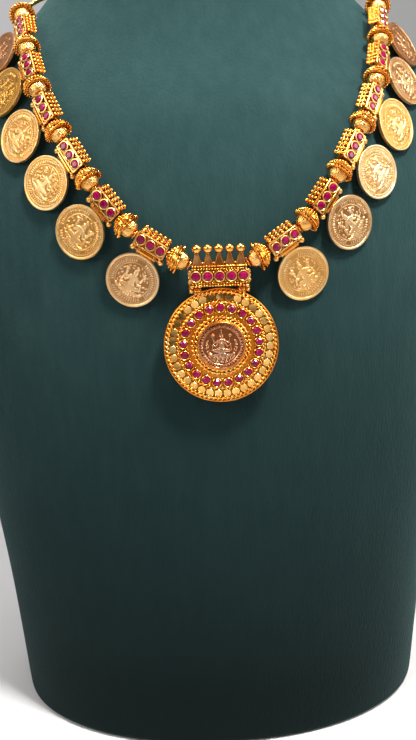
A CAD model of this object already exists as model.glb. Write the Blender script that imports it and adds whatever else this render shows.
"""Temple necklace on a velvet neck bust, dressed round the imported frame."""
import math

import bmesh
import bpy
import numpy as np
from mathutils import Matrix, Vector


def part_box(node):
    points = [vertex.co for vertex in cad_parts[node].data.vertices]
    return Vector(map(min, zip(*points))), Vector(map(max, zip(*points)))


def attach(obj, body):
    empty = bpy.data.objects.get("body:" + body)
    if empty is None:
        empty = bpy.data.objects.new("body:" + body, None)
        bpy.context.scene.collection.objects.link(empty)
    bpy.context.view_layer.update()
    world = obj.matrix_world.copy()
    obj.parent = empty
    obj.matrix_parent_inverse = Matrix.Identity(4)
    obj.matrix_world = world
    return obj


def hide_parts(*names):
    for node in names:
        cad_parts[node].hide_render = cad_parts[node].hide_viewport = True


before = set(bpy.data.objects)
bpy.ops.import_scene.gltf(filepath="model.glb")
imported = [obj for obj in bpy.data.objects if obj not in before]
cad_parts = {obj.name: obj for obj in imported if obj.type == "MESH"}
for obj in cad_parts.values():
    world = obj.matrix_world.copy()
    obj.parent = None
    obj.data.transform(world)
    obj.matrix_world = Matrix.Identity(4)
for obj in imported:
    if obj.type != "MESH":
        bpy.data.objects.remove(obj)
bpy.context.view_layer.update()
MM = 0.001
TAU = 2 * math.pi
QUARTER = math.pi / 2
ROOT = "necklace_and_bust"
PENDANT = "pendant"

# Camera, fitted to the photograph, in pixels, millimetres and radians, its clipping in metres
PHOTO_H, FOCAL_PX, SENSOR = 740, 850, 36
CAMERA_AT = (-18.75, -379.7, 214)
CAMERA_YAW, CAMERA_PITCH, CAMERA_ROLL = 0.046, -0.189, -0.035
CLIP_NEAR, CLIP_FAR = 0.01, 20

# Sizes that the frame doesn't give, in millimetres
BEADS, UNITS = 7, 6
BORE_R = 0.75
STONE_GAP, BEZEL_UP, BEZEL_DOWN, TRAY_DEPTH = 0.1, 0.35, 0.1, 0.6
BARREL_D = 1.7

# Tones: the place of a face's material in its piece's list
BEAD_POLISH = 1
BOX_PALE = 1
COIN_MOUNT = 1
CROWN_POLISH, CROWN_BROWN, CROWN_PALE = 1, 2, 3
PENDANT_FIELD, PENDANT_SEQUIN, PENDANT_COPPER = 1, 2, 3


def unit(v):
    return v / np.linalg.norm(v)


def units(rows):
    return rows / np.linalg.norm(rows, axis=1)[:, None]


def square_to(v, t):
    """The direction of v without its part along the unit vector t."""
    return unit(v - t * np.dot(v, t))


def polar(r, a):
    return r * math.cos(a), r * math.sin(a)


def around(n):
    """Angles spread evenly over a whole turn."""
    return np.arange(n) * TAU / n


def centred(n):
    """Whole steps with their middle at zero."""
    return np.arange(n) - (n - 1) / 2


def axes(x, y, z, at):
    """The 4 x 4 matrix of a frame with these axes and this origin."""
    m = np.eye(4)
    m[:3] = np.stack([x, y, z, at], 1)
    return m


def place(x=0, y=0, z=0, turn=None):
    m = np.eye(4)
    if turn is not None:
        m[:3, :3] = turn
    m[:3, 3] = (x, y, z)
    return m


def moved(points, m):
    return points @ m[:3, :3].T + m[:3, 3]


def turn_x(a):
    c, s = math.cos(a), math.sin(a)
    return np.array([[1, 0, 0], [0, c, -s], [0, s, c]])


def turn_y(a):
    c, s = math.cos(a), math.sin(a)
    return np.array([[c, 0, s], [0, 1, 0], [-s, 0, c]])


def turn_z(a):
    c, s = math.cos(a), math.sin(a)
    return np.array([[c, -s, 0], [s, c, 0], [0, 0, 1]])


ALONG_X = turn_y(QUARTER)
ALONG_Y = turn_x(-QUARTER)

# The height that a surface without relief carries, for the metals with darker hollows
PLAIN_HEIGHT = 0.6


class Form:
    """A mesh gathered part by part, with a tone for each face and a height for each point."""

    def __init__(self):
        self.points, self.heights, self.faces, self.tones = [], [], [], []
        self.count = 0

    def take(self, points, faces, tones, heights):
        self.faces += [[i + self.count for i in f] for f in faces]
        self.tones += tones
        self.points.append(points)
        self.heights += heights
        self.count += len(points)

    def add(self, points, faces, move=None, tone=0, heights=None):
        if move is not None:
            points = moved(points, move)
        if heights is None:
            heights = np.full(len(points), PLAIN_HEIGHT)
        self.take(points, faces, [tone] * len(faces), [heights])

    def extend(self, other, move):
        points = moved(np.concatenate(other.points), move)
        self.take(points, other.faces, other.tones, other.heights)


# Basic shapes, each as points and faces, and the radius that no turned ring goes below
POLE_R = 0.01


def skin(rings, closed=False):
    """Faces over rings of equally many points. Open ends get a flat cap."""
    rings = np.asarray(rings, float)
    n, m = rings.shape[:2]
    last = n if closed else n - 1
    i = np.arange(last)[:, None]
    j = np.arange(m)[None, :]
    a = i * m + j
    b = i * m + (j + 1) % m
    c = ((i + 1) % n) * m + (j + 1) % m
    d = ((i + 1) % n) * m + j
    faces = np.stack([a, b, c, d], -1).reshape(-1, 4).tolist()
    if not closed:
        faces.append(list(range(m - 1, -1, -1)))
        faces.append([(n - 1) * m + k for k in range(m)])
    return rings.reshape(-1, 3), faces


def circle(r, z, angles):
    return np.stack([r * np.cos(angles), r * np.sin(angles), np.full(len(angles), z)], -1)


def lathe(profile, sides, closed=False):
    """Turns (radius, height) pairs round Z."""
    a = around(sides)
    return skin([circle(max(r, POLE_R), z, a) for r, z in profile], closed)


def ball(d, sides, rows):
    latitudes = (np.arange(rows) + 0.5) / rows * math.pi - QUARTER
    return lathe([polar(d / 2, t) for t in latitudes], sides)


def round_rod(d, length, sides, rounding):
    r, h = d / 2, length / 2
    return lathe([(r - rounding, -h), (r, rounding - h), (r, h - rounding), (r - rounding, h)], sides)


def sleeve(inner, outer, z0, z1, sides):
    return lathe([(inner, z0), (outer, z0), (outer, z1), (inner, z1)], sides, True)


def bevelled_block(size, b):
    """A block round its own middle, with chamfered edges."""
    x, y, z = (s / 2 for s in size)

    def ring(dx, dy, h, cut):
        return [
            (dx - cut, -dy, h), (dx, -dy + cut, h), (dx, dy - cut, h), (dx - cut, dy, h),
            (-dx + cut, dy, h), (-dx, dy - cut, h), (-dx, -dy + cut, h), (-dx + cut, -dy, h),
        ]

    return skin([ring(x - b, y - b, -z, b), ring(x, y, b - z, b), ring(x, y, z - b, b),
                 ring(x - b, y - b, z, b)])


def tube(path, d, sides, closed=False, up=(0, 0, 1)):
    if closed:
        along = np.roll(path, -1, 0) - np.roll(path, 1, 0)
    else:
        along = np.gradient(path, axis=0)
    along = units(along)
    up = np.broadcast_to(np.asarray(up, float), path.shape)
    u = units(up - along * (up * along).sum(1)[:, None])
    v = np.cross(along, u)
    a = around(sides)
    rings = path[:, None] + d / 2 * (
        u[:, None] * np.cos(a)[None, :, None] + v[:, None] * np.sin(a)[None, :, None]
    )
    return skin(rings, closed)


# Twisted wire: the lean of its turns, the size of a turn over the thickness and the pitch, and
# the thickness of the core under the turns
SLANT = 0.85
TURN_LONG, TURN_WIDE, TURN_HIGH = 1.4, 0.72, 0.6
CORE = 0.37


def slanted_grain(d, pitch):
    """One turn of a twisted wire, seen from outside: an oval lying askew along X."""
    points, faces = ball(1, 9, 6) if d > 1 else ball(1, 7, 5)
    points = points * (TURN_LONG * d, TURN_WIDE * pitch * math.sin(SLANT), TURN_HIGH * d)
    points[:, :2] = points[:, :2] @ turn_z(SLANT)[:2, :2].T
    return points, faces


def rope_ring(form, r, d, turns, z=0):
    """Two wires twisted round each other into a ring of thickness d."""
    n = 2 * turns
    points, faces = slanted_grain(d, TAU * r / n)
    for a in around(n):
        form.add(points, faces, place(*polar(r, a), z, turn_z(a + QUARTER)))
    form.add(*tube(circle(r, z, around(n)), CORE * d, 6, True))


def rope_line(form, length, d, turns, move):
    """The same twisted wires along X."""
    n = 2 * turns
    pitch = length / n
    points, faces = slanted_grain(d, pitch)
    for x in centred(n) * pitch:
        form.add(points, faces, move @ place(x))
    form.add(*round_rod(CORE * d, length, 6, 0.05), move @ place(turn=ALONG_X))


def bezel(form, d, z0, z1, move, wall, sides, tone=0):
    """The collar round a stone of diameter d, with a rounded lip."""
    r = d / 2 + STONE_GAP
    o = r + wall
    profile = [
        (r, z0), (o, z0), (o, z1 - 0.16), (o - 0.12, z1 - 0.03), (r + 0.14, z1), (r, z1 - 0.12),
    ]
    form.add(*lathe(profile, sides, True), move, tone)


# Materials, and the sockets of a mix node for two values, two colours and the mixed colour
VALUE_A, VALUE_B = 2, 3
COLOUR_A, COLOUR_B, MIXED = 6, 7, 2


def material(name):
    m = bpy.data.materials.new(name)
    m.use_nodes = True
    nodes, links = m.node_tree.nodes, m.node_tree.links
    return m, nodes, links, nodes["Principled BSDF"]


def noise(nodes, links, scale, detail=3, rough=0.55, stretch=None):
    where = nodes.new("ShaderNodeTexCoord")
    vector = where.outputs["Object"]
    tex = nodes.new("ShaderNodeTexNoise")
    tex.inputs["Scale"].default_value = scale
    tex.inputs["Detail"].default_value = detail
    tex.inputs["Roughness"].default_value = rough
    if stretch:
        mapping = nodes.new("ShaderNodeMapping")
        mapping.inputs["Scale"].default_value = stretch
        links.new(vector, mapping.inputs["Vector"])
        vector = mapping.outputs["Vector"]
    links.new(vector, tex.inputs["Vector"])
    return tex.outputs["Fac"]


def colour_ramp(nodes, links, fac, stops):
    r = nodes.new("ShaderNodeValToRGB")
    elements = r.color_ramp.elements
    while len(elements) < len(stops):
        elements.new(0.5)
    for e, (at, c) in zip(elements, stops):
        e.position = at
        e.color = (*c, 1)
    links.new(fac, r.inputs["Fac"])
    return r.outputs["Color"]


def map_range(nodes, links, value, from_min, from_max, to_min=0, to_max=1):
    r = nodes.new("ShaderNodeMapRange")
    r.inputs["From Min"].default_value = from_min
    r.inputs["From Max"].default_value = from_max
    r.inputs["To Min"].default_value = to_min
    r.inputs["To Max"].default_value = to_max
    links.new(value, r.inputs["Value"])
    return r.outputs["Result"]


def coordinate(nodes, links, axis, output="Object"):
    """One coordinate of the shaded point."""
    where = nodes.new("ShaderNodeTexCoord")
    split = nodes.new("ShaderNodeSeparateXYZ")
    links.new(where.outputs[output], split.inputs["Vector"])
    return split.outputs[axis]


def bump(nodes, links, fac, strength, distance, shader):
    b = nodes.new("ShaderNodeBump")
    b.inputs["Strength"].default_value = strength
    b.inputs["Distance"].default_value = distance
    links.new(fac, b.inputs["Height"])
    links.new(b.outputs["Normal"], shader.inputs["Normal"])


def metal(name, dark, mid, light, rough, grain=900, grain_depth=0.00004, strength=0.25,
          hollow=(0.3, 0.07, 0.004), struck=False):
    """Metal with a broad drift of colour, a fine grain, and a deeper tone in its hollows."""
    m, nodes, links, p = material(name)
    p.inputs["Metallic"].default_value = 1
    broad = noise(nodes, links, 160)
    colour = colour_ramp(nodes, links, broad, [(0.3, dark), (0.5, mid), (0.72, light)])
    if struck:
        own = nodes.new("ShaderNodeAttribute")
        own.attribute_name = "height"
        raised = map_range(nodes, links, own.outputs["Fac"], 0, 0.5)
    else:
        near = nodes.new("ShaderNodeAmbientOcclusion")
        near.samples = 8
        near.inputs["Distance"].default_value = 0.001
        raised = map_range(nodes, links, near.outputs["AO"], 0.25, 0.85)
    mix = nodes.new("ShaderNodeMix")
    mix.data_type = "RGBA"
    links.new(raised, mix.inputs["Factor"])
    mix.inputs[COLOUR_A].default_value = (*hollow, 1)
    links.new(colour, mix.inputs[COLOUR_B])
    links.new(mix.outputs[MIXED], p.inputs["Base Color"])
    fine = noise(nodes, links, grain, 4, 0.6)
    links.new(map_range(nodes, links, fine, 0.3, 0.7, *rough), p.inputs["Roughness"])
    bump(nodes, links, fine, strength, grain_depth, p)
    return m


def make_velvet():
    m, nodes, links, p = material("velvet")
    cloud = noise(nodes, links, 11, 6, 0.66)
    streak = noise(nodes, links, 260, 4, 0.6, (1, 1, 0.22))
    both = nodes.new("ShaderNodeMix")
    both.inputs["Factor"].default_value = 0.45
    links.new(cloud, both.inputs[VALUE_A])
    links.new(streak, both.inputs[VALUE_B])
    colour = colour_ramp(nodes, links, both.outputs[0], [
        (0.25, (0.009, 0.028, 0.0285)), (0.5, (0.015, 0.039, 0.0395)), (0.8, (0.025, 0.056, 0.056)),
    ])
    # the pile is brushed down towards the foot, where it shows darker
    brushed = map_range(nodes, links, coordinate(nodes, links, "Z"), 0.02, 0.2, 0.1)
    shade = nodes.new("ShaderNodeVectorMath")
    shade.operation = "SCALE"
    links.new(colour, shade.inputs[0])
    links.new(brushed, shade.inputs["Scale"])
    links.new(shade.outputs["Vector"], p.inputs["Base Color"])
    p.inputs["Roughness"].default_value = 0.9
    p.inputs["Specular IOR Level"].default_value = 0.06
    p.inputs["Sheen Weight"].default_value = 0.11
    p.inputs["Sheen Roughness"].default_value = 0.5
    p.inputs["Sheen Tint"].default_value = (0.4, 0.72, 0.7, 1)
    nap = noise(nodes, links, 1100, 4, 0.7, (1, 1, 0.3))
    bump(nodes, links, nap, 0.75, 0.0005, p)
    return m


def make_ruby():
    m, nodes, links, p = material("ruby")
    cloud = noise(nodes, links, 420, 2)
    colour = colour_ramp(nodes, links, cloud, [
        (0.3, (0.12, 0.0, 0.02)), (0.55, (0.23, 0.0, 0.045)), (0.75, (0.38, 0.003, 0.09)),
    ])
    links.new(colour, p.inputs["Base Color"])
    p.inputs["Roughness"].default_value = 0.08
    p.inputs["IOR"].default_value = 1.5
    p.inputs["Coat Weight"].default_value = 0.05
    p.inputs["Coat Roughness"].default_value = 0.03
    bump(nodes, links, noise(nodes, links, 1500, 2), 0.06, 0.00003, p)
    return m


def coin_metal(name, dark, mid, light, hollow):
    return metal(name, dark, mid, light, (0.3, 0.42), 2200, 0.0002, 0.5, hollow, True)


GOLD = metal("gold", (0.92, 0.31, 0.035), (1.0, 0.41, 0.06), (1.0, 0.55, 0.13), (0.14, 0.27))
GOLD_FIELD = metal("gold_field", (0.85, 0.24, 0.02), (0.95, 0.3, 0.03), (1.0, 0.41, 0.06),
                   (0.24, 0.38), 1400, 0.00006, 0.4)
GOLD_POLISH = metal("gold_polish", (0.95, 0.45, 0.09), (1.0, 0.54, 0.15), (1.0, 0.65, 0.25),
                    (0.1, 0.18), 900, 0.0006, 0.9)
GOLD_PALE = metal("gold_pale", (1.0, 0.46, 0.1), (1.0, 0.56, 0.17), (1.0, 0.68, 0.27),
                  (0.24, 0.36))
SEQUIN_GOLD = metal("sequin_gold", (0.95, 0.48, 0.1), (1.0, 0.57, 0.16), (1.0, 0.69, 0.25),
                    (0.2, 0.3), 600, 0.00003, 0.15)
STRAND_GOLD = metal("strand_gold", (0.88, 0.4, 0.06), (1.0, 0.52, 0.11), (1.0, 0.68, 0.22),
                    (0.16, 0.3))
SPIKE_BROWN = metal("spike_brown", (0.2, 0.065, 0.02), (0.42, 0.17, 0.06), (0.8, 0.42, 0.17),
                    (0.28, 0.42), 1500, 0.00025, 1.0)
COPPER = metal("copper", (0.64, 0.33, 0.16), (0.78, 0.43, 0.24), (0.92, 0.58, 0.37),
               (0.2, 0.3), 900, 0.00003, 0.2, (0.42, 0.14, 0.045), True)
COIN_GOLDS = {
    "sandy": coin_metal("coin_sandy", (0.94, 0.5, 0.16), (1.0, 0.6, 0.23), (1.0, 0.73, 0.36),
                        (0.68, 0.33, 0.085)),
    "peach": coin_metal("coin_peach", (0.88, 0.5, 0.21), (0.98, 0.61, 0.29), (1.0, 0.74, 0.42),
                        (0.5, 0.23, 0.08)),
    "pale": coin_metal("coin_pale", (0.95, 0.6, 0.28), (1.0, 0.73, 0.41), (1.0, 0.85, 0.56),
                       (0.74, 0.4, 0.14)),
    "olive": coin_metal("coin_olive", (0.78, 0.4, 0.07), (0.9, 0.48, 0.11), (1.0, 0.62, 0.2),
                        (0.52, 0.24, 0.035)),
    "rosy": coin_metal("coin_rosy", (0.58, 0.26, 0.1), (0.74, 0.36, 0.15), (0.92, 0.53, 0.27),
                       (0.42, 0.17, 0.06)),
}
# The coins that aren't sandy
COIN_TONES = {
    "l1": "peach", "l5": "olive", "l6": "rosy", "r2": "peach", "r3": "pale", "r5": "peach",
    "r6": "rosy",
}
VELVET = make_velvet()
RUBY = make_ruby()


def new_object(name, data):
    o = bpy.data.objects.new(name, data)
    bpy.context.scene.collection.objects.link(o)
    return o


def finish_piece(form, name, body, materials, replaced, move=None, sharp=35):
    """Makes the form an object that rides on a body and stands for a node of the frame."""
    points = np.concatenate(form.points)
    if move is not None:
        points = moved(points, move)
    mesh = bpy.data.meshes.new(name)
    mesh.from_pydata((points * MM).tolist(), [], form.faces)
    for m in materials:
        mesh.materials.append(m)
    mesh.polygons.foreach_set("material_index", form.tones)
    height = mesh.attributes.new("height", "FLOAT", "POINT")
    height.data.foreach_set("value", np.concatenate(form.heights))
    b = bmesh.new()
    b.from_mesh(mesh)
    bmesh.ops.recalc_face_normals(b, faces=b.faces)
    b.to_mesh(mesh)
    b.free()
    mesh.polygons.foreach_set("use_smooth", [True] * len(mesh.polygons))
    mesh.set_sharp_from_angle(angle=math.radians(sharp))
    o = new_object(name, mesh)
    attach(o, body)
    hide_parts(replaced)


# Places, read from the frame
THREAD_RING_REACH = 0.8
STONES_REACH = 8
TO_FRONT = np.array([0, -1.0, 0])


def node_points(node):
    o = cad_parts[node]
    co = np.empty(len(o.data.vertices) * 3)
    o.data.vertices.foreach_get("co", co)
    return co.reshape(-1, 3) / MM


def distinct_points(node):
    return np.unique(node_points(node).round(4), axis=0)


def box_mm(node):
    lo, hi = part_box(node)
    return np.array(lo) / MM, np.array(hi) / MM


def thread_joints():
    """Centres of the thread's rings on the right side: where two pieces of the string meet."""
    left = node_points("thread")
    left = left[left[:, 0] > 0]
    centres = []
    while len(left):
        near = np.linalg.norm(left - left[0], axis=1) < THREAD_RING_REACH
        centres.append(left[near].mean(0))
        left = left[~near]
    # the first ring lies in the crown, and the last a quarter short of the last joint
    centres = np.array(sorted(centres, key=lambda c: c[2] + c[0]))[1:]
    centres[-1] = (4 * centres[-1] - centres[-2]) / 3
    return centres


def box_frame(a, b, out, right):
    """Frame of a box between two joints: x along the string, y to the neck, z out."""
    x = unit(b - a) if right else -unit(b - a)
    z = square_to(out, x)
    return axes(x, np.cross(z, x), z, (a + b) / 2)


def coin_frame(node, along, out):
    """The coin's frame: x along its pin, y to the neck, z out of its face, origin at the pin.

    Its diameter and the drop from the pin to its middle come with it.
    """
    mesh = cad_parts[node].data
    mesh.calc_loop_triangles()
    spread = np.zeros((3, 3))
    for tri in mesh.loop_triangles:
        n = np.array(tri.normal)
        spread += tri.area * np.outer(n, n)
    z = np.linalg.eigh(spread)[1][:, -1]
    if np.dot(z, out) < 0:
        z = -z
    x = square_to(along, z)
    y = np.cross(z, x)
    p = node_points(node)
    u, v, w = p @ x, p @ y, p @ z
    mid = x * (u.max() + u.min()) / 2 + z * (w.max() + w.min()) / 2
    r = (u.max() - u.min()) / 2
    pin = v.max() - BARREL_D / 2
    centre = v.min() + r
    return axes(x, y, z, mid + y * pin), 2 * r, pin - centre


def upright(y, z):
    """Frame of a piece in the middle that faces the front: x right, y up, z out."""
    return axes((1, 0, 0), (0, 0, 1), (0, -1, 0), (0, y, z))


def camera():
    f = np.array([math.sin(CAMERA_YAW) * math.cos(CAMERA_PITCH),
                  math.cos(CAMERA_YAW) * math.cos(CAMERA_PITCH), math.sin(CAMERA_PITCH)])
    right = unit(np.cross(f, (0, 0, 1)))
    up = np.cross(right, f)
    c, s = math.cos(CAMERA_ROLL), math.sin(CAMERA_ROLL)
    right, up = right * c + up * s, up * c - right * s
    turn = Matrix(np.stack([right, up, -f], 1).tolist())
    data = bpy.data.cameras.new("camera")
    data.sensor_width = SENSOR
    data.lens = FOCAL_PX / PHOTO_H * SENSOR
    data.clip_start = CLIP_NEAR
    data.clip_end = CLIP_FAR
    o = new_object("camera", data)
    o.matrix_world = Matrix.Translation(Vector(CAMERA_AT) * MM) @ turn.to_4x4()
    bpy.context.scene.camera = o


# Bust
LEVEL_REACH = 0.02


def finer(rows, times, wrap):
    """A smooth curve through the rows, each stretch of it in so many steps."""
    rows = np.asarray(rows)
    n = len(rows)
    made = []
    for k in range(n * times if wrap else (n - 1) * times + 1):
        i, u = divmod(k, times)
        u /= times
        near = np.arange(i - 1, i + 3)
        p = rows[near % n if wrap else np.clip(near, 0, n - 1)]
        made.append(0.5 * (2 * p[1] + (p[2] - p[0]) * u
                           + (2 * p[0] - 5 * p[1] + 4 * p[2] - p[3]) * u * u
                           + (3 * p[1] - p[0] - 3 * p[2] + p[3]) * u ** 3))
    return np.array(made)


def make_bust():
    """The bust's own rings, resampled smoothly."""
    points = distinct_points("bust")
    levels = []
    for z in np.unique(points[:, 2].round(2)):
        ring = points[abs(points[:, 2] - z) < LEVEL_REACH]
        levels.append(ring[np.argsort(np.arctan2(ring[:, 1], ring[:, 0]))])
    sides = max(len(r) for r in levels)
    rings = finer([r for r in levels if len(r) == sides], 2, False)
    rings = np.swapaxes(finer(np.swapaxes(rings, 0, 1), 3, True), 0, 1)
    form = Form()
    form.add(*skin(rings))
    finish_piece(form, "velvet_bust", ROOT, [VELVET], "bust", sharp=60)


# Spacer bead, its axis along +Z from the polished half to the cap: (radius, height) pairs
DOME_FOOT = [(BORE_R, -4.4), (1.35, -4.4), (1.4, -4.3), (1.4, -3.75), (1.25, -3.68)]
DOME_LIP = [(3.45, 0.6), (3.0, 0.9), (BORE_R, 0.9)]
CAP_RIM = [(3.5, 0.4), (4.3, 0.3), (4.8, 0.35), (4.95, 0.6), (4.7, 0.95)]
CAP_COLLAR = [(1.4, 3.75), (1.4, 4.4), (BORE_R, 4.4), (BORE_R, 1.0), (3.2, 0.6)]
# radius, thickness, turns and height of the twisted wires on the rim and the collars
BEAD_WIRES = (
    (4.52, 1.35, 12, -0.1), (4.35, 0.9, 14, 1.2), (3.75, 0.8, 12, -0.2), (1.66, 0.55, 7, -4.0),
    (1.66, 0.55, 7, 4.05),
)
# radius, height, number and size of the balls of granulation on the cap
CAP_ROWS = ((3.86, 2.02, 22, 1.0), (3.08, 2.86, 18, 0.95), (2.16, 3.44, 13, 0.88))


def bead_form():
    f = Form()
    neck_r, swell, low, rise = 1.2, 2.25, -3.62, 3.2
    dome = [
        (neck_r + swell * math.sin(a), low + rise * (1 - math.cos(a)))
        for a in np.linspace(0.05, 1, 12) * QUARTER
    ]
    f.add(*lathe(DOME_FOOT + dome + DOME_LIP, 36, True), tone=BEAD_POLISH)
    top_r, spread, foot, height = 1.3, 3.1, 0.95, 2.6
    cap = [
        (top_r + spread * math.cos(a), foot + height * math.sin(a))
        for a in np.linspace(0.1, 1, 9) * QUARTER
    ]
    f.add(*lathe(CAP_RIM + cap + CAP_COLLAR, 32, True))
    for r, d, turns, z in BEAD_WIRES:
        rope_ring(f, r, d, turns, z)
    for r, z, n, d in CAP_ROWS:
        for a in around(n):
            f.add(*ball(d, 9, 6), place(*polar(r, a), z))
    return f


# Setting box in its own frame: x along the string, y to the neck, z out
BOX = (11.9, 5.1, 4.4)
WALL, WALL_H = 0.5, 1.3
STONE_PITCH, STONE_D = 3.95, 2.8
# the twisted wires on the neck side and the coin side: how much shorter than the box, thickness,
# turns, distance from the box and height
NECK_WIRES = ((0.5, 0.6, 9, 0.05, 1.9), (0.9, 0.75, 9, 0.78, 0.5), (0.9, 0.75, 9, 1.42, -0.62))
COIN_WIRES = ((0.6, 0.55, 8, 0.05, 1.5), (0.6, 0.55, 8, 0.05, -1.5))
# the comb of granulation: its balls' size, and where they lie in a tooth, over that size
COMB_D, COMB_PITCH, TEETH = 1.25, 1.85, 6
TOOTH = ((0.24, 0.8), (0.68, -0.14), (1.38, -1.02))
PIN_Y, PIN_D, PIN_BALL_X, PIN_BALL_D = 4.0, 0.8, 5.7, 2.05


def setting_form():
    f = Form()
    x, y, z = BOX
    front, side = z / 2, y / 2
    tray = front - TRAY_DEPTH
    f.add(*bevelled_block((x, y, z - TRAY_DEPTH), 0.15), place(0, 0, -TRAY_DEPTH / 2))
    for s in (-1, 1):
        at = place(0, s * (y - WALL) / 2, front - WALL_H / 2)
        f.add(*bevelled_block((x, WALL, WALL_H), 0.1), at, BOX_PALE)
        at = place(s * (x - WALL) / 2, 0, front - WALL_H / 2)
        f.add(*bevelled_block((WALL, y, WALL_H), 0.1), at, BOX_PALE)
    for i in centred(3):
        at = place(i * STONE_PITCH, 0, 0)
        bezel(f, STONE_D, tray - BEZEL_DOWN, front + BEZEL_UP, at, 0.45, 24, BOX_PALE)
    for i in centred(4):
        for s in (-1, 1):
            f.add(*ball(0.7, 8, 5), place(i * STONE_PITCH * 0.97, s * 1.7, tray + 0.1))
    for s, wires in ((1, NECK_WIRES), (-1, COIN_WIRES)):
        for shorter, d, turns, out, up in wires:
            rope_line(f, x - shorter, d, turns, place(0, s * (side + out), up))
    for i in centred(TEETH):
        for out, up in TOOTH:
            at = place(i * COMB_PITCH, side + out * COMB_D, up * COMB_D)
            f.add(*ball(1.06 * COMB_D, 12, 8), at)
    # the pin, its balls and lugs, and the collars round the thread
    for s in (-1, 1):
        lug_x = s * (x - 2) / 2
        f.add(*ball(PIN_BALL_D, 20, 12), place(s * PIN_BALL_X, -PIN_Y, 0), BOX_PALE)
        f.add(*ball(1.1, 12, 7), place(lug_x, -PIN_Y + 1.2, 0.75))
        lug = bevelled_block((PIN_D, PIN_Y - side + 0.2, PIN_D), 0.1)
        f.add(*lug, place(lug_x, -(PIN_Y + side) / 2, 0))
    f.add(*round_rod(PIN_D, 2 * PIN_BALL_X, 12, 0.1), place(0, -PIN_Y, 0, ALONG_X))
    for s in (-1, 1):
        f.add(*sleeve(BORE_R, 1.35, -0.25, 0.06, 16), place(s * (x / 2 - 0.1), 0, 0, ALONG_X))
    return f


# Reliefs, as heights over the unit disc
def stroke(x, y, a, b, w):
    """A rounded ridge of half width w from a to b."""
    ax, ay = a
    bx, by = b
    lx, ly = bx - ax, by - ay
    t = np.clip(((x - ax) * lx + (y - ay) * ly) / max(lx * lx + ly * ly, 1e-9), 0, 1)
    d = np.hypot(x - ax - t * lx, y - ay - t * ly) / w
    return np.sqrt(np.clip(1.5 - 1.5 * d * d, 0, 1))


def dot(x, y, at, w):
    return stroke(x, y, at, at, w)


def line_ring(x, y, r, w):
    return np.clip(1 - abs(np.hypot(x, y) - r) / w, 0, 1)


def ring_of(x, y, n, r, length, w, start=0, stop=TAU, lean=0):
    """Short radial strokes along an arc."""
    rr, a = np.hypot(x, y), np.arctan2(y, x) % TAU
    span = stop - start
    k = np.round(((a - start) % TAU) / span * n - 0.5)
    k = np.clip(k, 0, n - 1)
    c = start + (k + 0.5) / n * span
    da = (a - c + math.pi) % TAU - math.pi
    du = rr * np.sin(da + lean * (rr - r))
    dr = np.abs(rr - r) - length / 2
    d = np.hypot(du, np.maximum(dr, 0)) / w
    return np.sqrt(np.clip(1 - d * d, 0, 1))


def seated_figure(x, y, k):
    """A seated figure with four arms on a lotus, about 1.2 k high, its middle at the origin."""
    x, y = x / k, y / k
    # body, shoulders, head, brow, crown, knees and crossed legs
    parts = [
        stroke(x, y, (0, -0.2), (0, 0.06), 0.11) * 0.9,
        stroke(x, y, (-0.12, 0.1), (0.12, 0.1), 0.07),
        dot(x, y, (0, 0.25), 0.09) * 1.1,
        stroke(x, y, (-0.05, 0.34), (0.05, 0.34), 0.035),
        stroke(x, y, (0, 0.36), (0, 0.5), 0.045),
        stroke(x, y, (-0.3, -0.3), (0.3, -0.3), 0.075),
        stroke(x, y, (-0.32, -0.31), (0.08, -0.4), 0.06),
        stroke(x, y, (0.32, -0.31), (-0.08, -0.4), 0.06),
    ]
    # necklace and waist band
    for q in np.linspace(-1, 1, 9):
        parts.append(dot(x, y, (0.1 * q, 0.1 - 0.09 * (1 - q * q)), 0.022) * 1.1)
        parts.append(dot(x, y, (0.12 * q, -0.17 - 0.02 * (1 - q * q)), 0.02) * 1.05)
    # arms, sash ends, and a flower in each raised hand
    for s in (-1, 1):
        parts += [
            stroke(x, y, (s * 0.14, 0.09), (s * 0.31, 0.02), 0.04),
            stroke(x, y, (s * 0.31, 0.02), (s * 0.35, 0.22), 0.034),
            stroke(x, y, (s * 0.13, 0.04), (s * 0.26, -0.12), 0.04),
            stroke(x, y, (s * 0.26, -0.12), (s * 0.36, -0.06), 0.034),
            stroke(x, y, (s * 0.38, -0.06), (s * 0.42, -0.3), 0.03) * 0.8,
        ]
        for a in around(5):
            at = (s * 0.36 + 0.045 * math.sin(a), 0.32 + 0.045 * math.cos(a))
            parts.append(dot(x, y, at, 0.036))
    # petals of the lotus under a straight seat
    for i in range(-5, 6):
        parts.append(stroke(x, y, (i * 0.082, -0.49), (i * 0.105, -0.62 + 0.008 * i * i), 0.04))
    parts.append(stroke(x, y, (-0.42, -0.455), (0.42, -0.455), 0.025))
    return np.max(parts, axis=0)


# first and last degree of each stretch of lettering, and its number of strokes
LETTERING = ((-28, 78, 17), (102, 208, 17), (222, 318, 14))
# radius and number of the leaves round the figure
LEAVES = ((0.36, 8), (0.46, 13), (0.56, 18))


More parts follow.
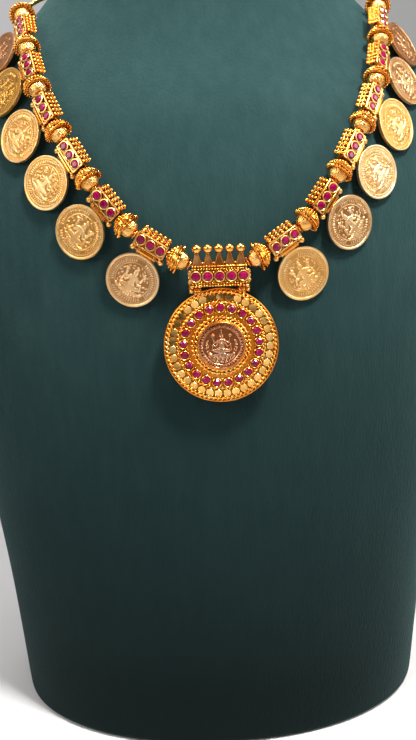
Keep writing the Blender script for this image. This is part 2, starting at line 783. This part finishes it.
def coin_relief(x, y, variant):
    r = np.hypot(x, y)
    rng = np.random.default_rng(40 + variant)
    parts = [
        0.9 * np.sqrt(np.clip(1 - ((r - 0.963) / 0.045) ** 4, 0, 1)),
        0.5 * ring_of(x, y, 80, 0.89, 0.012, 0.022),
        0.4 * line_ring(x, y, 0.85, 0.02),
        0.4 * line_ring(x, y, 0.66, 0.02),
        0.95 * seated_figure(x, y - 0.03, 0.96),
    ]
    for start, stop, n in LETTERING:
        parts.append(0.55 * ring_of(x, y, n, 0.755, 0.08, 0.022, math.radians(start),
                                    math.radians(stop), rng.uniform(-0.5, 0.5)))
    for q, n in LEAVES:
        for i in range(n):
            a = TAU * (i + rng.uniform(-0.3, 0.3)) / n
            turn = a + rng.uniform(0.5, 2.2)
            at = polar(q, a)
            tip = (at[0] + 0.06 * math.cos(turn), at[1] + 0.06 * math.sin(turn))
            parts.append(0.5 * stroke(x, y, at, tip, 0.026))
    for foot_y in (-0.6, -0.65):
        parts.append(0.4 * stroke(x, y, (-0.25, foot_y), (0.25, foot_y), 0.016))
    return np.max(parts, axis=0)


def centre_relief(x, y):
    """A seated figure over a wide bed of flowers, a reeded edge round it."""
    parts = [
        0.9 * ring_of(x, y, 88, 0.94, 0.08, 0.022),
        0.4 * line_ring(x, y, 0.865, 0.03),
        0.95 * seated_figure(x, y - 0.12, 1.08),
    ]
    for row, (q, n, half) in enumerate(((0.56, 8, 40), (0.66, 11, 48), (0.77, 14, 52))):
        for i in range(n):
            at = polar(q, math.radians(-90 + half * (2 * (i + 0.5) / n - 1)))
            lean = 0.4 * (-1) ** (i + row)
            tip = (at[0] + 0.05 * math.sin(lean), at[1] + 0.05 * math.cos(lean))
            parts.append(0.7 * stroke(x, y, at, tip, 0.036))
    for s in (-1, 1):
        for i in range(5):
            out, up = polar(0.7, math.radians(-34 + i * 12))
            parts.append(0.5 * stroke(x, y, (s * out, up), (s * (out - 0.06), up + 0.07), 0.034))
    return np.max(parts, axis=0)


EDGE_STEP = 0.06


def relief_disc(d, t, depth, relief, rings, sectors):
    """A struck disc: a relief on the front, a plain step and edge behind it, and its heights."""
    r = d / 2
    a = around(sectors)
    rows, heights = [], []
    for q in np.linspace(0.02, r - EDGE_STEP, rings):
        x, y = q * np.cos(a), q * np.sin(a)
        h = relief(x / r, y / r)
        heights.append(h)
        rows.append(circle(q, t - depth + h * depth, a))
    # the step and the edge, then the back with its shallow hollow
    rim = rows[-1][:, 2].mean() - EDGE_STEP
    plain = ((r, rim), (r, 0.12), (r - 0.12, 0), (r * 0.93, 0), (r * 0.92, 0.08), (0.05, 0.08))
    rows += [circle(q, z, a) for q, z in plain]
    heights += [np.full(sectors, PLAIN_HEIGHT)] * len(plain)
    return *skin(rows), np.concatenate(heights)


# Coins
COIN_T, COIN_DEPTH = 1.3, 0.25
COIN_BORE_R, BARREL_L = 0.5, BOX[0] - 4.4
TAB_W, TAB_T = 4.5, 0.8


def coin_form(variant, d, drop):
    """A coin hanging along -y from the pin at the origin."""
    f = Form()
    points, faces, heights = relief_disc(
        d, COIN_T, COIN_DEPTH, lambda x, y: coin_relief(x, y, variant), 48, 188)
    f.add(points, faces, place(0, -drop, -COIN_T / 2), heights=heights)
    end = BARREL_L / 2
    barrel = sleeve(COIN_BORE_R, BARREL_D / 2, -end, end, 16)
    f.add(*barrel, place(turn=ALONG_X), tone=COIN_MOUNT)
    ring = Form()
    rope_ring(ring, 0.92, 0.34, 5)
    for s in (-1, 1):
        for inward in (0.25, 0.85):
            f.extend(ring, place(s * (end - inward), 0, 0, ALONG_X))
    tab = drop - d / 2 + 0.6
    f.add(*bevelled_block((TAB_W, tab, TAB_T), 0.1), place(0, -tab / 2, 0), tone=COIN_MOUNT)
    return f


def make_bead(form, number, a, b):
    axis = unit(b - a)
    x = square_to(TO_FRONT, axis)
    m = axes(x, np.cross(axis, x), axis, (a + b) / 2)
    finish_piece(form, f"spacer_bead_{number}", ROOT, [GOLD, GOLD_POLISH],
                 f"bead_{number}", m)


def make_unit(form, number, a, b, stones, variant):
    """A box and its coin."""
    mid = (a + b) / 2
    near = stones[np.linalg.norm(stones - mid, axis=1) < STONES_REACH]
    m = box_frame(a, b, near.mean(0) - mid, number.startswith("r"))
    finish_piece(form, f"setting_box_{number}", ROOT, [GOLD, GOLD_PALE],
                 f"setting_{number}", m)
    node = f"coin_{number}"
    m, d, drop = coin_frame(node, m[:3, 0], m[:3, 2])
    coin = coin_form(variant, d, drop)
    gold = COIN_GOLDS[COIN_TONES.get(number, "sandy")]
    finish_piece(coin, f"hanging_{node}", ROOT, [gold, GOLD], node, m)


def make_string():
    bead, box = bead_form(), setting_form()
    right_joints = thread_joints()
    sides = (
        ("r", right_joints, node_points("stones_right"), UNITS),
        ("l", right_joints * (-1, 1, 1), node_points("stones_left"), 0),
    )
    for letter, joints, stones, first_variant in sides:
        for i in range(BEADS):
            make_bead(bead, f"{letter}{i + 1}", joints[2 * i], joints[2 * i + 1])
        for i in range(UNITS):
            a, b = joints[2 * i + 1], joints[2 * i + 2]
            make_unit(box, f"{letter}{i + 1}", a, b, stones, first_variant + i)


# Crown: x right, y up, z to the front
CROWN_W, BAND_H, CROWN_T, RIM_UP = 22.0, 4.4, 4.6, 0.35
CROWN_STONES, CROWN_PITCH, CROWN_STONE_D = 5, 4.15, 2.9
# height and ball size of the paired rows of granulation above and below the stones
CROWN_ROWS = ((2.62, 0.84), (3.55, 0.84), (-2.36, 0.8), (-3.2, 0.8))
ROW_BALLS, ROW_W = 20, 19.6
SPIKE_W, SPIKE_H, SPIKE_TIP, SPIKE_TIP_W = 3.75, 5.85, 5.0, 0.3
LUG_X, LUG_Y, LUG_Z, LUG_D, LUG_PIN_D = 9.95, -5.0, -0.5, 1.8, 0.9
# place and size of the balls beside a lug
LUG_BALLS = ((9.7, -3.55, 1.35), (8.4, -3.35, 1.25), (7.1, -3.35, 1.25))


def spike_form():
    f = Form()
    foot, tip = SPIKE_W / 2, SPIKE_TIP_W / 2
    outline = [(-foot, 0), (foot, 0), (tip, SPIKE_TIP), (-tip, SPIKE_TIP)]
    rings = [[(x, y, z) for x, y in outline] for z in (-0.6, 0.1)]
    f.add(*skin(rings), tone=CROWN_BROWN)
    for s in (-1, 1):
        edge = np.linspace((s * (foot - 0.2), 0, 0.2), (s * tip, SPIKE_TIP, 0.2), 6)
        f.add(*tube(edge, 0.5, 10))
    f.add(*ball(3.24, 28, 18), place(0, SPIKE_H, 0))
    f.add(*sleeve(0.5, 0.95, -0.15, 0.15, 16), place(0, SPIKE_H - 1.6, 0, ALONG_Y))
    return f


def make_crown():
    f = Form()
    front = CROWN_T / 2
    tray = front - TRAY_DEPTH
    band = (CROWN_W - 1.4, BAND_H, CROWN_T - TRAY_DEPTH)
    f.add(*bevelled_block(band, 0.2), place(0, 0, -TRAY_DEPTH / 2))
    for w, h, y in ((18.7, 1.7, BAND_H / 2 + 0.7), (19.4, 1.3, -BAND_H / 2 - 0.5)):
        f.add(*bevelled_block((w, h, 3.9), 0.15), place(0, y, -0.35))
    # scalloped ends: small lobes one over the other
    lobe = round_rod(1.5, CROWN_T - 0.5, 16, 0.25)
    for s in (-1, 1):
        for k in centred(3):
            f.add(*lobe, place(s * (CROWN_W / 2 - 0.75), k * 1.45, -0.1), CROWN_POLISH)
    for i in centred(CROWN_STONES):
        at = place(i * CROWN_PITCH, 0, 0)
        bezel(f, CROWN_STONE_D, tray - BEZEL_DOWN, front + BEZEL_UP, at, 0.4, 26, CROWN_PALE)
    for i in centred(CROWN_STONES - 1):
        for s in (-1, 1):
            f.add(*ball(0.8, 9, 6), place(i * CROWN_PITCH, s * 1.5, tray + 0.15))
    for y, d in CROWN_ROWS:
        for i in centred(ROW_BALLS):
            f.add(*ball(d, 10, 6), place(i * ROW_W / ROW_BALLS, y, front - 0.4))
    # thread tube, and the spikes on it
    f.add(*sleeve(BORE_R, 1.0, -8.5, 8.5, 18), place(0, 4.1, 0, ALONG_X))
    spike = spike_form()
    for i in centred(CROWN_STONES):
        f.extend(spike, place(i * 3.8, 3.75, front - 1.1))
    # hinge lugs, their pins, and clusters of granulation
    for s in (-1, 1):
        f.add(*round_rod(LUG_D, 1.5, 18, 0.12), place(s * LUG_X, LUG_Y, LUG_Z, ALONG_X))
        f.add(*bevelled_block((1.5, 3.0, 1.2), 0.12), place(s * LUG_X, -3.7, LUG_Z))
        f.add(*round_rod(LUG_PIN_D, 4.4, 12, 0.06), place(s * 8.45, LUG_Y, LUG_Z, ALONG_X))
        f.add(*ball(1.5, 14, 9), place(s * LUG_X, LUG_Y, LUG_Z + 0.75), CROWN_POLISH)
        for x, y, d in LUG_BALLS:
            f.add(*ball(d, 14, 9), place(s * x, y, front - 0.9), CROWN_POLISH)
    lo, hi = box_mm("crown_stones")
    m = upright(box_mm("crown")[0][1] + CROWN_T / 2 + RIM_UP, (lo[2] + hi[2]) / 2)
    finish_piece(f, "crown_bail", ROOT, [GOLD, GOLD_POLISH, SPIKE_BROWN, GOLD_PALE],
                 "crown", m)


# Pendant: x right, y up, z to the front, its origin in the middle of the rim's thickness
PENDANT_R, RIM_HALF_T = 20.5, 1.1
# radius, thickness, turns and height of the twisted wires
PENDANT_WIRES = (
    (19.15, 1.75, 38, 0.85), (15.45, 1.15, 36, 0.85), (10.15, 1.3, 20, 0.95), (8.95, 1.25, 18, 1.35),
)
CUP_R, REEDS = 8.1, 72
SEQUINS, SEQUIN_RING_R, SEQUIN_LEAN = 35, 17.45, math.radians(8)
SEQUIN_PROFILE = [(0.05, 0), (1.45, 0), (1.45, 0.42), (1.34, 0.54), (0.9, 0.52), (0.05, 0.48)]
INWARD_SEQUINS = (2, 3, 4, 30, 31, 32, 33)
RING_STONES, STONE_RING_R, RING_STONE_D = 21, 13.5, 2.6
KNUCKLE_X, KNUCKLE_Y = 7.8, 19.6


def pendant_frame(y):
    lo, hi = box_mm("centre_coin")
    return upright(y, (lo[2] + hi[2]) / 2)


def make_pendant():
    f = Form()
    r, t = PENDANT_R, RIM_HALF_T
    plate = [
        (0.05, -t), (r - 0.5, -t), (r - 0.12, -0.95), (r, -0.6), (r, 0.6), (r - 0.1, 0.85),
        (r - 0.3, 0.95), (r - 0.48, 0.88), (r - 0.55, 0.7), (r - 0.57, 0.5), (19.0, 0.5),
        (18.98, 0.3), (15.9, 0.3), (15.6, 0.6), (8.75, 0.6), (8.7, 1.65), (8.6, 1.75),
        (8.05, 1.75), (7.95, 1.65), (7.95, 0.4), (0.05, 0.4),
    ]
    f.add(*lathe(plate, 160), tone=PENDANT_FIELD)
    for rope_r, d, turns, z in PENDANT_WIRES:
        rope_ring(f, rope_r, d, turns, z)
    # reeded edge on the wall of the cup
    reed = round_rod(0.44, 0.72, 7, 0.08)
    for a in around(REEDS):
        f.add(*reed, place(*polar(CUP_R, a), 1.8, turn_z(a) @ ALONG_X), PENDANT_COPPER)
    # flat polished discs, each a little askew: they lean outwards, but for some
    for k in range(SEQUINS):
        a = QUARTER + k * TAU / SEQUINS
        lean = -SEQUIN_LEAN if k in INWARD_SEQUINS else SEQUIN_LEAN
        lean += 0.07 * math.sin(3.7 * k)
        tilt = turn_z(a) @ turn_y(lean) @ turn_x(0.06 * math.cos(2.3 * k))
        at = place(*polar(SEQUIN_RING_R, a), 0.36, tilt)
        f.add(*lathe(SEQUIN_PROFILE, 24), at, PENDANT_SEQUIN)
    # bezels of the ring of stones, with two balls between each two
    for k in range(RING_STONES):
        a = QUARTER + k * TAU / RING_STONES
        bezel(f, RING_STONE_D, 0.4, 1.6, place(*polar(STONE_RING_R, a), 0), 0.34, 24)
        between = a + math.pi / RING_STONES
        for q, d in ((12.1, 0.75), (14.75, 0.7)):
            f.add(*ball(d, 9, 6), place(*polar(q, between), 0.75))
    # knuckles with a small cluster of granulation
    for s in (-1, 1):
        at = place(s * KNUCKLE_X, KNUCKLE_Y, 0, ALONG_X)
        f.add(*round_rod(LUG_D, 2.6, 18, 0.12), at)
        f.add(*bevelled_block((2.6, 1.6, 1.4), 0.12), place(s * KNUCKLE_X, 18.8, 0))
        for x in (7.15, 8.45):
            f.add(*ball(1.2, 12, 8), place(s * x, KNUCKLE_Y, 0.7))
            f.add(*ball(1.0, 12, 8), place(s * x, 18.62, 0.88))
    m = pendant_frame(box_mm("pendant_disc")[1][1] - RIM_HALF_T)
    finish_piece(f, "round_pendant", PENDANT, [GOLD, GOLD_FIELD, SEQUIN_GOLD, COPPER],
                 "pendant_disc", m)


def make_centre_coin():
    f = Form()
    lo, hi = box_mm("centre_coin")
    points, faces, heights = relief_disc(15.6, hi[1] - lo[1], 0.5, centre_relief, 60, 220)
    f.add(points, faces, heights=heights)
    finish_piece(f, "copper_coin", PENDANT, [COPPER], "centre_coin",
                 pendant_frame(hi[1]))


# Strand round the back: three wires twisted round one line
STRAND_RING_POINTS = 8
STRAND_STEP, STRAND_SMOOTHING = 0.22, 12
WIRES, WIRE_SWING, WIRE_D, WIRE_PITCH = 3, 0.47, 1.05, 2.8


def strand_centres(points):
    """The middle of each ring of points, walked from the bead to the clasp."""
    left, centres = points, []
    here = points[np.argmin(points[:, 1])]
    while len(left) > STRAND_RING_POINTS / 2:
        order = np.argsort(np.linalg.norm(left - here, axis=1))
        centre = left[order[:STRAND_RING_POINTS]].mean(0)
        left = left[order[STRAND_RING_POINTS:]]
        here = centre + (centre - centres[-1]) * 0.8 if centres else centre
        centres.append(centre)
    return np.array(centres)


def make_strand(node, name):
    path = strand_centres(distinct_points(node))
    step = np.linalg.norm(np.diff(path, axis=0), axis=1)
    s = np.concatenate([[0], np.cumsum(step)])
    t = np.linspace(0, s[-1], int(s[-1] / STRAND_STEP))
    fine = np.stack([np.interp(t, s, path[:, k]) for k in range(3)], -1)
    for _ in range(STRAND_SMOOTHING):
        fine[1:-1] = (fine[:-2] + 2 * fine[1:-1] + fine[2:]) / 4
    along = units(np.gradient(fine, axis=0))
    up = units(np.array([0, 0, 1]) - along * along[:, 2:])
    side = np.cross(along, up)
    f = Form()
    for k in range(WIRES):
        phase = (t / WIRE_PITCH + k / WIRES) * TAU
        wire = fine + WIRE_SWING * (up * np.cos(phase)[:, None] + side * np.sin(phase)[:, None])
        f.add(*tube(wire, WIRE_D, 7, up=up))
    finish_piece(f, name, ROOT, [STRAND_GOLD], node, sharp=60)


def dress(node, mat, smooth=False):
    """Gives a node of the frame that stays in view its material."""
    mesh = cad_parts[node].data
    if len(mesh.materials) == 0:
        mesh.materials.append(mat)
    for i in range(len(mesh.materials)):
        mesh.materials[i] = mat
    if smooth:
        mesh.polygons.foreach_set("use_smooth", [True] * len(mesh.polygons))


# Stage and lights, in metres and watts
FLOOR_HALF = 3.0
WARM, SOFT, LAMP = (1, 0.98, 0.95), (1, 0.98, 0.96), (1, 0.97, 0.93)
NECKLACE, MIDDLE = (0, -0.05, 0.33), (0, -0.08, 0.2)
RIGHT_COINS, LEFT_COINS = (0.06, -0.07, 0.24), (-0.06, -0.07, 0.24)


def make_floor():
    m, nodes, links, p = material("floor")
    cloud = noise(nodes, links, 3, 4)
    colour = colour_ramp(nodes, links, cloud, [(0.3, (0.74, 0.73, 0.73)), (0.7, (0.8, 0.79, 0.79))])
    links.new(colour, p.inputs["Base Color"])
    p.inputs["Roughness"].default_value = 0.7
    mesh = bpy.data.meshes.new("floor")
    e = FLOOR_HALF
    mesh.from_pydata([(-e, -e, 0), (e, -e, 0), (e, e, 0), (-e, e, 0)], [], [(0, 1, 2, 3)])
    mesh.materials.append(m)
    new_object("floor", mesh)


def area(name, at, look, size, power, colour=(1, 1, 1), spread=180):
    light = bpy.data.lights.new(name, "AREA")
    light.shape = "RECTANGLE"
    light.size, light.size_y = size
    light.energy = power
    light.color = colour
    light.spread = math.radians(spread)
    o = new_object(name, light)
    o.location = at
    o.rotation_mode = "QUATERNION"
    o.rotation_quaternion = (Vector(look) - Vector(at)).to_track_quat("-Z", "Y")


def make_lights():
    """A soft studio: a pale wall behind, a dim room in front, brighter to the right and above."""
    world = bpy.data.worlds.new("studio")
    bpy.context.scene.world = world
    world.use_nodes = True
    nodes, links = world.node_tree.nodes, world.node_tree.links

    def scaled(axis, lo, hi):
        return map_range(nodes, links, coordinate(nodes, links, axis, "Generated"), lo, hi)

    wall = colour_ramp(nodes, links, scaled("X", -0.35, 0.4), [
        (0, (0.58, 0.565, 0.57)), (1, (0.33, 0.33, 0.325)),
    ])
    room = colour_ramp(nodes, links, scaled("Z", -0.5, 0.9), [
        (0, (0.06, 0.055, 0.05)), (0.35, (0.03, 0.03, 0.03)), (0.6, (0.05, 0.05, 0.052)),
        (1, (0.3, 0.31, 0.32)),
    ])
    mix = nodes.new("ShaderNodeMix")
    mix.data_type = "RGBA"
    links.new(scaled("Y", 0.1, 0.4), mix.inputs["Factor"])
    links.new(room, mix.inputs[COLOUR_A])
    links.new(wall, mix.inputs[COLOUR_B])
    links.new(mix.outputs[MIXED], nodes["Background"].inputs["Color"])
    area("key", (0.2, -0.34, 0.78), NECKLACE, (0.14, 0.14), 1.8, WARM, 75)
    area("fill", (-0.45, -0.55, 0.62), NECKLACE, (0.25, 0.4), 0.35, SOFT, 80)
    area("top", (-0.05, -0.06, 0.85), NECKLACE, (0.35, 0.25), 0.6, spread=100)
    area("wall", (0, 1.0, 1.5), (0, 1.6, 0), (1.6, 0.6), 3.5, spread=80)
    # large dim cards, for what the metal mirrors
    area("card_low", (0.4, -0.8, 0.12), MIDDLE, (0.27, 0.2), 0.15, LAMP)
    area("card_right", (0.78, -0.36, 0.6), RIGHT_COINS, (0.7, 0.35), 4.2, WARM)
    area("card_left", (-0.72, -0.42, 0.6), LEFT_COINS, (0.45, 0.35), 2.6, WARM)
    area("card_high", (0.3, -0.95, 0.42), MIDDLE, (0.2, 0.14), 0.12, LAMP)
    area("card_floor", (0.1, -0.52, 0.35), (0.1, -0.52, 0), (0.2, 0.2), 0.2, WARM, 80)


bpy.context.scene.view_settings.view_transform = "Standard"
camera()
make_bust()
make_string()
make_crown()
make_pendant()
make_centre_coin()
make_strand("back_chain_r", "back_strand_r")
make_strand("back_chain_l", "back_strand_l")
for n in ("crown_stones", "pendant_stones", "stones_left", "stones_right"):
    dress(n, RUBY)
dress("thread", STRAND_GOLD, True)
dress("clasp", GOLD)
make_floor()
make_lights()
